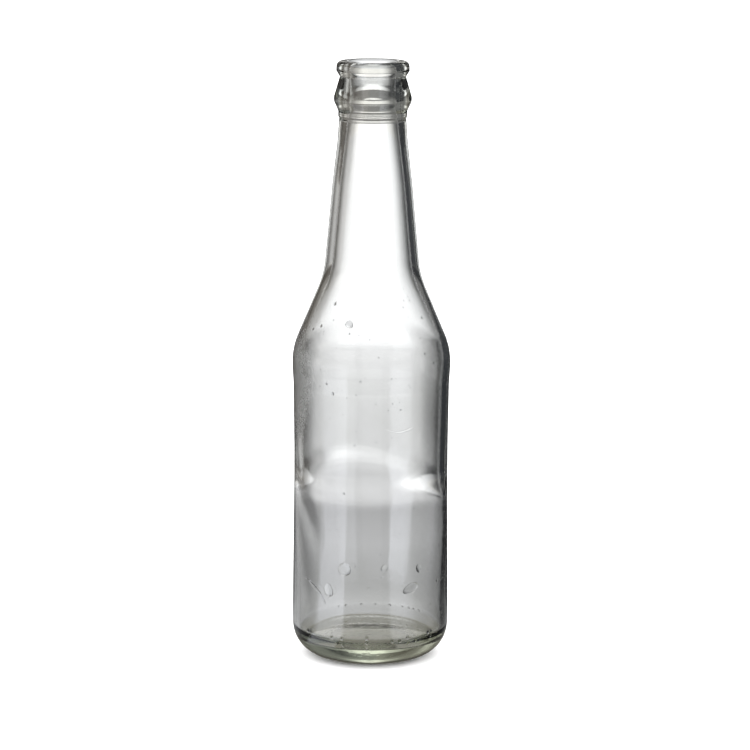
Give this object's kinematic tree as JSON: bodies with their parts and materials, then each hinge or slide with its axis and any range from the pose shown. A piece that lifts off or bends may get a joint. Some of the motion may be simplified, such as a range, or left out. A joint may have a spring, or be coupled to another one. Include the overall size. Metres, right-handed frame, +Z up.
{
  "type": "glass soda bottle",
  "caption": "Clear glass long-neck drinks bottle with a crown finish, open and empty, with beads of water standing on its wall.",
  "frame": {"origin": "on the bottle's axis, in the plane of the flat ring that it stands on", "axes": "+Z up along the bottle's axis towards the mouth; the front, where the beads of water are, faces -Y"},
  "size_m": [0.058, 0.0581, 0.2205],
  "materials": {
    "glass": "polished clear glass with a faint green cast where it is thick",
    "water": "clear water, wet and smooth"
  },
  "bodies": {
    "root": {"bottle_glass": "glass", "water_bead_1": "water", "water_bead_2": "water", "water_bead_3": "water", "water_bead_4": "water", "water_bead_5": "water", "water_bead_6": "water", "water_bead_7": "water", "water_bead_8": "water"}
  },
  "joints": []
}
